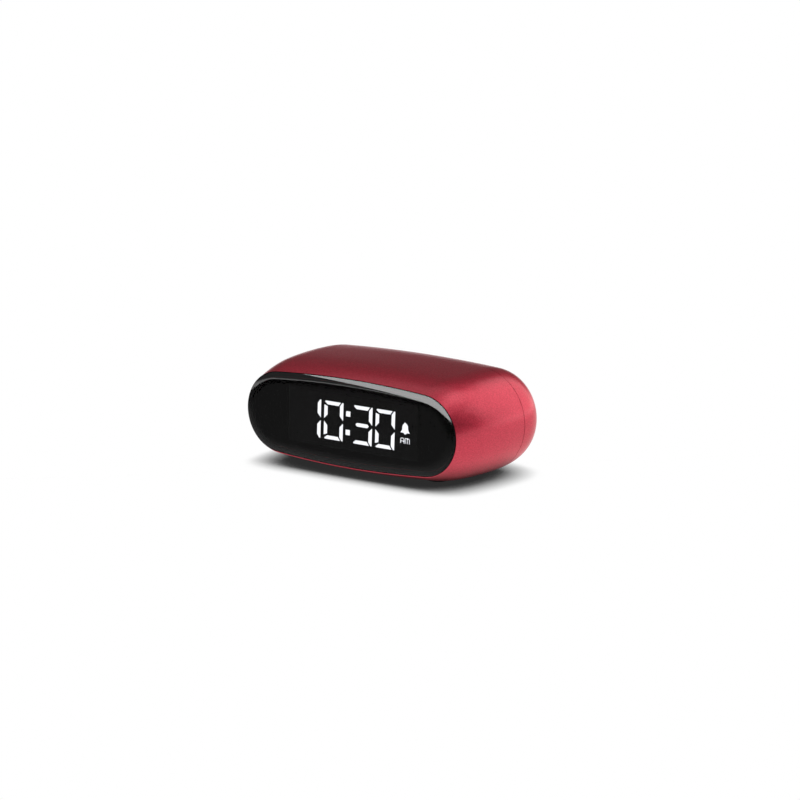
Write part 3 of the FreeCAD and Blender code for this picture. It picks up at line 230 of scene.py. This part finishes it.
def noise(nodes, links, scale, detail=3.0):
    """Noise texture in the object's own metres."""
    place = nodes.new("ShaderNodeTexCoord")
    texture = nodes.new("ShaderNodeTexNoise")
    texture.inputs["Scale"].default_value = scale
    texture.inputs["Detail"].default_value = detail
    links.new(place.outputs["Object"], texture.inputs["Vector"])
    return texture.outputs["Fac"]


def ramp(nodes, links, source, low, high, start=0.3, end=0.7):
    """Colour ramp between two colours, or two grey levels."""
    node = nodes.new("ShaderNodeValToRGB")
    stops = node.color_ramp.elements
    for stop, place, value in ((stops[0], start, low), (stops[1], end, high)):
        stop.position = place
        stop.color = (*value, 1.0) if isinstance(value, tuple) else (value, value, value, 1.0)
    links.new(source, node.inputs["Fac"])
    return node.outputs["Color"]


def add_bump(nodes, links, shader, source, strength, distance):
    """Raises the shader's surface by the source, up to distance in metres."""
    bump = nodes.new("ShaderNodeBump")
    bump.inputs["Strength"].default_value = strength
    bump.inputs["Distance"].default_value = distance
    links.new(source, bump.inputs["Height"])
    links.new(bump.outputs["Normal"], shader.inputs["Normal"])


def metallic_paint(name):
    """Satin metallic paint: fine flake that catches the light, under a clear coat."""
    material, nodes, links, shader = new_material(name)
    place = nodes.new("ShaderNodeTexCoord")
    flake = nodes.new("ShaderNodeTexVoronoi")
    flake.inputs["Scale"].default_value = FLAKE_SCALE
    links.new(place.outputs["Object"], flake.inputs["Vector"])
    grain = nodes.new("ShaderNodeSeparateColor")
    links.new(flake.outputs["Color"], grain.inputs["Color"])
    colour = ramp(nodes, links, grain.outputs["Red"], RED_LOW, RED_HIGH, 0.0, 1.0)
    roughness = ramp(nodes, links, grain.outputs["Green"], *FLAKE_ROUGHNESS, 0.0, 1.0)
    links.new(colour, shader.inputs["Base Color"])
    links.new(roughness, shader.inputs["Roughness"])
    shader.inputs["Metallic"].default_value = FLAKE_METALLIC
    shader.inputs["Specular Tint"].default_value = FLAKE_EDGE_TINT
    shader.inputs["Coat Weight"].default_value = PAINT_COAT
    shader.inputs["Coat Roughness"].default_value = PAINT_COAT_ROUGHNESS
    add_bump(nodes, links, shader, grain.outputs["Blue"], FLAKE_BUMP, FLAKE_DEPTH)
    return material


def moulded_plastic(name, low, high, rough_low, rough_high, grain=TEXTURE_SCALE, depth=TEXTURE_DEPTH,
                    specular=0.5):
    """Moulded plastic or rubber with slight mottling and a fine spark-eroded texture."""
    material, nodes, links, shader = new_material(name)
    colour = ramp(nodes, links, noise(nodes, links, MOTTLE_SCALE), low, high)
    roughness = ramp(nodes, links, noise(nodes, links, SHEEN_SCALE), rough_low, rough_high)
    links.new(colour, shader.inputs["Base Color"])
    links.new(roughness, shader.inputs["Roughness"])
    shader.inputs["Specular IOR Level"].default_value = specular
    if depth:
        add_bump(nodes, links, shader, noise(nodes, links, grain, TEXTURE_DETAIL), TEXTURE_BUMP, depth)
    return material


def behind_glass(name, low, high):
    """Dead black film or plastic that lies behind the smoked lens."""
    return moulded_plastic(name, (low,) * 3, (high,) * 3, *DEAD_ROUGHNESS, depth=0.0, specular=DEAD_SPECULAR)


def brushed_metal(name, low, high):
    """Sheet metal with fine rolling lines along X."""
    material, nodes, links, shader = new_material(name)
    place = nodes.new("ShaderNodeTexCoord")
    stretch = nodes.new("ShaderNodeMapping")
    stretch.inputs["Scale"].default_value = ROLLING_STRETCH
    grain = nodes.new("ShaderNodeTexNoise")
    grain.inputs["Scale"].default_value = 1.0
    links.new(place.outputs["Object"], stretch.inputs["Vector"])
    links.new(stretch.outputs["Vector"], grain.inputs["Vector"])
    links.new(ramp(nodes, links, grain.outputs["Fac"], low, high), shader.inputs["Base Color"])
    links.new(ramp(nodes, links, grain.outputs["Fac"], *ROLLED_ROUGHNESS), shader.inputs["Roughness"])
    shader.inputs["Metallic"].default_value = 1.0
    return material


def smoked_acrylic():
    """Dark tinted acrylic: a coated face that hardly reflects, and an upper edge that mirrors the lamps."""
    material, nodes, links, shader = new_material("smoked_acrylic")
    tint = ramp(nodes, links, noise(nodes, links, SMOKE_SCALE), SMOKE_LOW, SMOKE_HIGH)
    links.new(tint, shader.inputs["Base Color"])
    links.new(ramp(nodes, links, noise(nodes, links, POLISH_SCALE), *POLISH), shader.inputs["Roughness"])
    place = nodes.new("ShaderNodeTexCoord")
    facing = nodes.new("ShaderNodeSeparateXYZ")
    links.new(place.outputs["Normal"], facing.inputs["Vector"])
    sheen = nodes.new("ShaderNodeFloatCurve")
    curve = sheen.mapping.curves[0]
    curve.points[0].location = COATING[0]
    curve.points[1].location = COATING[-1]
    for tilt, gloss in COATING[1:-1]:
        curve.points.new(tilt, gloss)
    for point in curve.points:
        point.handle_type = "VECTOR"
    sheen.mapping.update()
    links.new(facing.outputs["Z"], sheen.inputs["Value"])
    links.new(sheen.outputs["Value"], shader.inputs["Coat Weight"])
    shader.inputs["Coat Roughness"].default_value = COATING_ROUGHNESS
    shader.inputs["Coat IOR"].default_value = COATING_IOR
    shader.inputs["Transmission Weight"].default_value = 1.0
    shader.inputs["IOR"].default_value = SMOKE_IOR
    shader.inputs["Specular IOR Level"].default_value = SMOKE_SPECULAR
    return material


def lit_segment():
    """Milky light guide glowing white, a touch softer between its chips."""
    material, nodes, links, shader = new_material("lit_segment")
    glow = ramp(nodes, links, noise(nodes, links, GLOW_SCALE), GLOW_LOW, GLOW_HIGH)
    links.new(glow, shader.inputs["Base Color"])
    links.new(glow, shader.inputs["Emission Color"])
    shader.inputs["Emission Strength"].default_value = GLOW_STRENGTH
    shader.inputs["Roughness"].default_value = GLOW_ROUGHNESS
    return material


def circuit_board():
    """Green solder mask with faint copper traces beneath."""
    material, nodes, links, shader = new_material("circuit_board")
    place = nodes.new("ShaderNodeTexCoord")
    traces = nodes.new("ShaderNodeTexBrick")
    traces.inputs["Scale"].default_value = TRACE_SCALE
    traces.inputs["Mortar Size"].default_value = TRACE_WIDTH
    traces.inputs["Color1"].default_value = MASK_LOW
    traces.inputs["Color2"].default_value = MASK_HIGH
    traces.inputs["Mortar"].default_value = TRACE_COLOUR
    turn = nodes.new("ShaderNodeMapping")
    turn.inputs["Rotation"].default_value = (math.pi / 2, 0.0, 0.0)
    links.new(place.outputs["Object"], turn.inputs["Vector"])
    links.new(turn.outputs["Vector"], traces.inputs["Vector"])
    links.new(traces.outputs["Color"], shader.inputs["Base Color"])
    shader.inputs["Roughness"].default_value = MASK_ROUGHNESS
    return material


SLOTS = {
    "shell_paint": metallic_paint("shell_paint_flake"),
    "cover_paint": metallic_paint("cover_paint_flake"),
    "lens_smoke": smoked_acrylic(),
    "tape_black": moulded_plastic("tape_foam", (0.012, 0.012, 0.012), (0.02, 0.02, 0.02), 0.8, 0.95),
    "mask_black": behind_glass("mask_film", 0.0015, 0.002),
    "housing_black": behind_glass("housing_plastic", 0.0015, 0.002),
    "segment_lit": lit_segment(),
    "segment_dark": behind_glass("segment_unlit", 0.0018, 0.0024),
    "board_green": circuit_board(),
    "chip_black": moulded_plastic("chip_epoxy", (0.012, 0.012, 0.013), (0.02, 0.02, 0.022), 0.5, 0.65),
    "connector_white": moulded_plastic("connector_nylon", (0.74, 0.72, 0.66), (0.8, 0.78, 0.72), 0.45, 0.6),
    "ribbon_white": moulded_plastic("ribbon_film", (0.7, 0.7, 0.68), (0.76, 0.76, 0.74), 0.35, 0.5),
    "can_steel": brushed_metal("can_steel_brushed", (0.5, 0.5, 0.52), (0.66, 0.66, 0.68)),
    "contact_nickel": brushed_metal("contact_nickel_sheet", (0.58, 0.57, 0.53), (0.72, 0.71, 0.67)),
    "copper_foil": brushed_metal("copper_foil_sheet", (0.68, 0.33, 0.17), (0.8, 0.42, 0.24)),
    "button_rubber": moulded_plastic("button_silicone", (0.016, 0.016, 0.018), (0.026, 0.026, 0.028),
                                     0.5, 0.65),
    "switch_black": moulded_plastic("switch_plastic", (0.014, 0.014, 0.015), (0.022, 0.022, 0.024),
                                    0.35, 0.5),
    "foot_rubber": moulded_plastic("foot_rubber_matt", (0.015, 0.015, 0.015), (0.024, 0.024, 0.024),
                                   0.75, 0.9),
    "cell_wrap": moulded_plastic("cell_sleeve", (0.03, 0.035, 0.05), (0.05, 0.055, 0.07), 0.25, 0.35),
    "lead_insulation": moulded_plastic("lead_pvc", (0.45, 0.02, 0.02), (0.55, 0.03, 0.03), 0.4, 0.55),
    "screw_steel": brushed_metal("screw_blackened", (0.1, 0.1, 0.105), (0.2, 0.2, 0.21)),
    "foam_grey": moulded_plastic("door_foam", (0.06, 0.06, 0.065), (0.11, 0.11, 0.12), 0.85, 0.95,
                                 grain=FOAM_SCALE, depth=FOAM_DEPTH),
}


def dress(slots):
    """Gives every carried-over node the material of its slot in the record."""
    for part in frame["record"]["subparts"]:
        node = NODES[part["node"]]
        if not node.material_slots:
            node.data.materials.append(None)
        for place in node.material_slots:
            place.material = slots[part["material_slot"]]


def place_mesh(name, mesh):
    """An object of this mesh in the scene, already in the shared frame."""
    piece = bpy.data.objects.new(name, mesh)
    bpy.context.scene.collection.objects.link(piece)
    return piece


def mesh_object(name, vertices, faces, material):
    """An object made from vertices in metres and their faces."""
    mesh = bpy.data.meshes.new(name)
    mesh.from_pydata(vertices, [], faces)
    mesh.materials.append(material)
    return place_mesh(name, mesh)


def slimmed_shell():
    """The front shell drawn in towards its lip, which the photograph shows hidden behind the lens."""
    half_width = LENS_HALF_WIDTH + LIP_ROOM
    half_height = LENS_HALF_HEIGHT + LIP_ROOM
    mesh = NODES["front_shell"].data.copy()
    mesh.name = "front_shell_skin"
    for vertex in mesh.vertices:
        share = max(0.0, 1.0 - max(0.0, vertex.co.y - LIP_Y) / SLIM_REACH)
        slim = SLIM * share ** 2
        vertex.co.x *= 1.0 - slim / half_width
        vertex.co.z = LENS_CENTRE.z + (vertex.co.z - LENS_CENTRE.z) * (1.0 - slim / half_height)
    piece = place_mesh("front_shell_skin", mesh)
    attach(piece, "clock")
    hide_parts("front_shell")


def lens_outline(half_width, half_height, y):
    """Points round the lens at depth y: two end arcs joined by two shallow crown arcs, as on its solid."""
    end_radius = half_height - LENS_CROWN
    reach = half_width - end_radius
    drop = (reach ** 2 - LENS_CROWN ** 2) / (2 * LENS_CROWN)
    touch = math.atan2(drop, reach)
    crown = math.hypot(reach, drop) + end_radius
    points = []
    for side, middle in ((1, 0.0), (-1, math.pi)):
        for i in range(END_STEPS):
            angle = middle - touch + 2 * touch * i / END_STEPS
            points.append((side * reach + end_radius * math.cos(angle), y, end_radius * math.sin(angle)))
        for i in range(CROWN_STEPS):
            angle = middle + touch + (math.pi - 2 * touch) * i / CROWN_STEPS
            points.append((crown * math.cos(angle), y, crown * math.sin(angle) - side * drop))
    return [Vector((x, depth, z + LENS_CENTRE.z + PLATE_LIFT)) for x, depth, z in points]


def lens_glass(glass, rim_shade_black):
    """The lens as a plate that covers the lip of the shell, with a shallow domed border and a plug behind.

    The plug's side, the step to the plate and the plate's wall are drawn black, with the first ring of the
    border; round the rim this black is painted shade, a thin dark line where the lens meets the shell.
    """
    rings = [(-PLUG_INSET, LENS_HIGH[1]), (-PLUG_INSET, LENS_BACK_Y), (0.0, LENS_BACK_Y), (0.0, LENS_EDGE_Y)]
    rim_shade_rings = len(rings)
    for i in range(1, DOME_STEPS + 1):
        share = i / DOME_STEPS
        rings.append((-DOME_WIDTH * share, LENS_FACE_Y + (LENS_EDGE_Y - LENS_FACE_Y) * (1 - share) ** 2))
    vertices, faces = [], []
    for offset, y in rings:
        vertices += lens_outline(LENS_HALF_WIDTH + offset, LENS_HALF_HEIGHT - PLATE_LIFT + offset, y)
    count = len(vertices) // len(rings)
    for ring in range(len(rings) - 1):
        for i in range(count):
            a = ring * count + i
            b = ring * count + (i + 1) % count
            faces.append((a, b, b + count, a + count))
    faces.append(tuple(reversed(range(count))))
    faces.append(tuple(range(len(vertices) - count, len(vertices))))
    piece = mesh_object("lens_glass", vertices, faces, glass)
    piece.data.materials.append(rim_shade_black)
    for i, face in enumerate(piece.data.polygons):
        face.use_smooth = True
        # the black rim rings are painted shade: a thin dark line where the lens meets the shell
        face.material_index = 1 if i < rim_shade_rings * count else 0
    piece.data.set_sharp_from_angle(angle=SHARP_ANGLE)
    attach(piece, "clock")
    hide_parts("lens")


def strokes(name, lines, place, across, face, width, depth, material):
    """Flat pen strokes: each line is a list of (x, z) points in millimetres, mitred at its corners.

    place is the drawing's origin; across and face are the unit directions of x and of the side that shows.
    """
    vertices, faces = [], []
    for line in lines:
        closed = line[0] == line[-1]
        points = [Vector(point) for point in (line[:-1] if closed else line)]
        count = len(points)
        start = len(vertices)
        for i, point in enumerate(points):
            before = points[i - 1] if i or closed else None
            after = points[(i + 1) % count] if i < count - 1 or closed else None
            ahead = (after - point).normalized() if after else (point - before).normalized()
            behind = (point - before).normalized() if before else ahead
            along = (ahead + behind).normalized()
            side = Vector((-along.y, along.x)) * (width / 2 / max(MITRE_COSINE, along.dot(ahead)))
            for offset in (side, -side):
                flat = place + across * (point + offset).x * MM + Vector((0, 0, 1)) * (point + offset).y * MM
                vertices += [flat, flat + face * depth * MM]
        spans = count if closed else count - 1
        for i in range(spans):
            a = start + 4 * i
            b = start + 4 * ((i + 1) % count)
            faces += [(a + 1, b + 1, b + 3, a + 3), (a, a + 2, b + 2, b), (a, b, b + 1, a + 1),
                      (a + 2, a + 3, b + 3, b + 2)]
        if not closed:
            last = start + 4 * (count - 1)
            faces += [(start, start + 1, start + 3, start + 2), (last, last + 2, last + 3, last + 1)]
    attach(mesh_object(name, vertices, faces, material), "clock")


def arc_points(x, z, radius, start, end, steps):
    """Points along an arc, with its angles in degrees from the x axis."""
    angles = [math.radians(start + (end - start) * i / steps) for i in range(steps + 1)]
    return [(x + radius * math.cos(angle), z + radius * math.sin(angle)) for angle in angles]


def centre_of(node):
    """Middle of the node's box in the frame."""
    low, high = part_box(node)
    return Vector([(a + b) / 2 for a, b in zip(low, high)])


def morning_letters(material):
    """The two letters beside the digits, drawn in the display's own simple strokes."""
    place = centre_of("am_window")
    place.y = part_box("am_window")[0][1]
    arch = [(FIRST_LEFT, -LETTER_TOP), (FIRST_LEFT, LETTER_SHOULDER), (FIRST_LEFT + LETTER_CUT, LETTER_TOP),
            (FIRST_RIGHT - LETTER_CUT, LETTER_TOP), (FIRST_RIGHT, LETTER_SHOULDER),
            (FIRST_RIGHT, -LETTER_TOP)]
    first = [arch, [(FIRST_LEFT, FIRST_BAR), (FIRST_RIGHT, FIRST_BAR)]]
    second = [[(SECOND_LEFT, -LETTER_TOP), (SECOND_LEFT, LETTER_TOP), (SECOND_RIGHT - LETTER_CUT, LETTER_TOP),
               (SECOND_RIGHT, LETTER_SHOULDER), (SECOND_RIGHT, -LETTER_TOP)],
              [(SECOND_MIDDLE, LETTER_TOP), (SECOND_MIDDLE, -LETTER_TOP)]]
    strokes("am_letters", first + second, place, Vector((1, 0, 0)), Vector((0, -1, 0)), LETTER_STROKE,
            LETTER_DEPTH, material)


def bell_icon(material):
    """The alarm bell with its knob and clapper."""
    low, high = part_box("alarm_icon")
    middle = (low[0] + high[0]) / 2
    right = [(middle + x * MM, low[2] + z * MM) for x, z in BELL_OUTLINE]
    left = [(2 * middle - x, z) for x, z in reversed(right[1:-1])]
    outline = right + left
    count = len(outline)
    vertices = [(x, y, z) for y in (low[1], high[1]) for x, z in outline]
    faces = [tuple(range(count)), tuple(reversed(range(count, 2 * count)))]
    faces += [(i, i + count, (i + 1) % count + count, (i + 1) % count) for i in range(count)]
    piece = mesh_object("alarm_bell", vertices, faces, material)
    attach(piece, "clock")
    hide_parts("alarm_icon")


def button_marks(material):
    """Printed marks over the four buttons, in the sunk panel at the back: a dial, a bell, minus and plus."""
    panel_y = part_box("time_button")[1][1] - BUTTON_PROUD
    across, face = Vector((-1, 0, 0)), Vector((0, 1, 0))
    dial = arc_points(0, 0, DIAL_RADIUS, 0, 360, DIAL_STEPS)
    rim = [(-BELL_HALF_WIDTH, BELL_RIM_Z), (-BELL_WAIST, BELL_FLARE_Z)]
    other_rim = [(BELL_WAIST, BELL_FLARE_Z), (BELL_HALF_WIDTH, BELL_RIM_Z), (-BELL_HALF_WIDTH, BELL_RIM_Z)]
    bell = rim + arc_points(0, BELL_TOP_Z, BELL_WAIST, 180, 0, BELL_STEPS) + other_rim
    clapper = [(-CLAPPER_HALF_WIDTH, CLAPPER_Z), (CLAPPER_HALF_WIDTH, CLAPPER_Z)]
    level = [(-SIGN_HALF_WIDTH, 0), (SIGN_HALF_WIDTH, 0)]
    upright = [(0, SIGN_HALF_WIDTH), (0, -SIGN_HALF_WIDTH)]
    for name, lines, node, width in (("time_mark", [dial, HANDS], "time_button", INK_STROKE),
                                     ("alarm_mark", [bell, clapper], "alarm_button", INK_STROKE),
                                     ("minus_mark", [level], "minus_button", SIGN_STROKE),
                                     ("plus_mark", [level, upright], "plus_button", SIGN_STROKE)):
        centre = centre_of(node)
        place = Vector((centre.x, panel_y, centre.z + MARK_RISE))
        strokes(name, lines, place, across, face, width, INK_DEPTH, material)


def seen(nodes, links):
    """1 for camera, glossy and transmission rays, which show the white background, and 0 for the rest."""
    path = nodes.new("ShaderNodeLightPath")
    total = path.outputs["Is Camera Ray"]
    for name in ("Is Glossy Ray", "Is Transmission Ray"):
        either = nodes.new("ShaderNodeMath")
        either.operation = "MAXIMUM"
        links.new(total, either.inputs[0])
        links.new(path.outputs[name], either.inputs[1])
        total = either.outputs["Value"]
    return total


def floor():
    """White studio floor, large enough to fill the view, with the clock's soft shadow close under it."""
    material, nodes, links, shader = new_material("floor_white")
    links.new(ramp(nodes, links, noise(nodes, links, FLOOR_SCALE), *FLOOR_WHITE), shader.inputs["Base Color"])
    shader.inputs["Roughness"].default_value = FLOOR_ROUGHNESS
    shader.inputs["Specular IOR Level"].default_value = FLOOR_SPECULAR
    shade = nodes.new("ShaderNodeAmbientOcclusion")
    shade.samples = SHADOW_SAMPLES
    shade.inputs["Distance"].default_value = SHADOW_REACH
    lean = nodes.new("ShaderNodeCombineXYZ")
    for axis, value in zip("XYZ", SHADOW_LEAN):
        lean.inputs[axis].default_value = value
    links.new(lean.outputs["Vector"], shade.inputs["Normal"])
    light = ramp(nodes, links, shade.outputs["AO"], SHADOW_LEVEL, 1.0, SHADOW_START, SHADOW_END)
    glow = nodes.new("ShaderNodeEmission")
    links.new(light, glow.inputs["Color"])
    mix = nodes.new("ShaderNodeMixShader")
    links.new(seen(nodes, links), mix.inputs["Fac"])
    links.new(shader.outputs["BSDF"], mix.inputs[1])
    links.new(glow.outputs["Emission"], mix.inputs[2])
    links.new(mix.outputs["Shader"], nodes["Material Output"].inputs["Surface"])
    corners = [(-FLOOR_REACH, -FLOOR_REACH, 0), (FLOOR_REACH, -FLOOR_REACH, 0), (FLOOR_REACH, FLOOR_REACH, 0),
               (-FLOOR_REACH, FLOOR_REACH, 0)]
    mesh_object("studio_floor", corners, [(0, 1, 2, 3)], material)


def sky():
    """A soft grey sky as a light; where it is seen, it turns into the white of the floor at the horizon."""
    world = bpy.data.worlds.new("studio")
    bpy.context.scene.world = world
    world.use_nodes = True
    nodes, links = world.node_tree.nodes, world.node_tree.links
    place = nodes.new("ShaderNodeTexCoord")
    rise = nodes.new("ShaderNodeSeparateXYZ")
    links.new(place.outputs["Generated"], rise.inputs["Vector"])
    fade = nodes.new("ShaderNodeMapRange")
    fade.interpolation_type = "SMOOTHSTEP"
    fade.inputs["From Min"].default_value = HORIZON_START
    fade.inputs["From Max"].default_value = HORIZON_END
    fade.inputs["To Min"].default_value = 1.0
    fade.inputs["To Max"].default_value = SEEN_SKY_LEVEL
    links.new(rise.outputs["Z"], fade.inputs["Value"])
    choice = nodes.new("ShaderNodeMix")
    choice.inputs["A"].default_value = SKY_LEVEL
    links.new(seen(nodes, links), choice.inputs["Factor"])
    links.new(fade.outputs["Result"], choice.inputs["B"])
    links.new(choice.outputs["Result"], nodes["Background"].inputs["Strength"])
    nodes["Background"].inputs["Color"].default_value = (1.0, 1.0, 1.0, 1.0)


def softbox(name, direction, distance, width, height, radiance):
    """Rectangular lamp facing the clock from a direction, as bright as radiance."""
    data = bpy.data.lights.new(name, "AREA")
    data.shape = "RECTANGLE"
    data.size = width
    data.size_y = height
    data.energy = radiance * math.pi * width * height
    lamp = bpy.data.objects.new(name, data)
    place = Vector(direction).normalized() * distance
    lamp.location = place
    lamp.rotation_euler = (-place).to_track_quat("-Z", "Y").to_euler()
    bpy.context.scene.collection.objects.link(lamp)
    return lamp


def front_softbox():
    """The lamp that the upper edge of the lens mirrors as a bright strip."""
    mirrored = math.radians(AZIMUTH)
    ahead = Vector((-math.sin(mirrored), -math.cos(mirrored), 0.0))
    aside = Vector((math.cos(mirrored), -math.sin(mirrored), 0.0))
    panel = softbox("front_softbox", ahead, FRONT_DISTANCE, *FRONT_SIZE, FRONT_RADIANCE)
    panel.location = LENS_CENTRE + ahead * FRONT_DISTANCE + aside * FRONT_ASIDE
    panel.location.z = FRONT_HEIGHT
    panel.rotation_euler.rotate_axis("Z", math.radians(FRONT_LEAN))


def camera():
    """The photograph's camera: the centre of the lens's face falls on its measured pixel."""
    azimuth, elevation = math.radians(AZIMUTH), math.radians(ELEVATION)
    back = Vector((math.sin(azimuth) * math.cos(elevation), -math.cos(azimuth) * math.cos(elevation),
                   math.sin(elevation)))
    right = Vector((math.cos(azimuth), math.sin(azimuth), 0.0))
    up = back.cross(right)
    pixel = DISTANCE / FOCAL_PX
    half = FRAME_PX / 2
    column, row = LENS_CENTRE_PX
    target = LENS_CENTRE + right * (half - column) * pixel + up * (row - half) * pixel
    data = bpy.data.cameras.new("photo_camera")
    data.sensor_width = SENSOR_MM
    data.lens = FOCAL_PX / FRAME_PX * SENSOR_MM
    data.clip_start = CLIP_START
    data.clip_end = CLIP_END
    eye = bpy.data.objects.new("photo_camera", data)
    eye.location = LENS_CENTRE + back * DISTANCE
    eye.rotation_euler = (target - eye.location).to_track_quat("-Z", "Y").to_euler()
    bpy.context.scene.collection.objects.link(eye)
    bpy.context.scene.camera = eye


dress(SLOTS)
slimmed_shell()
lens_glass(SLOTS["lens_smoke"], SLOTS["mask_black"])
morning_letters(SLOTS["segment_lit"])
bell_icon(SLOTS["segment_lit"])
button_marks(moulded_plastic("mark_ink", (0.55, 0.53, 0.52), (0.62, 0.6, 0.59), 0.5, 0.6))
floor()
sky()
for lamp in SOFTBOXES:
    softbox(*lamp)
front_softbox()
camera()
bpy.context.scene.view_settings.view_transform = "Standard"
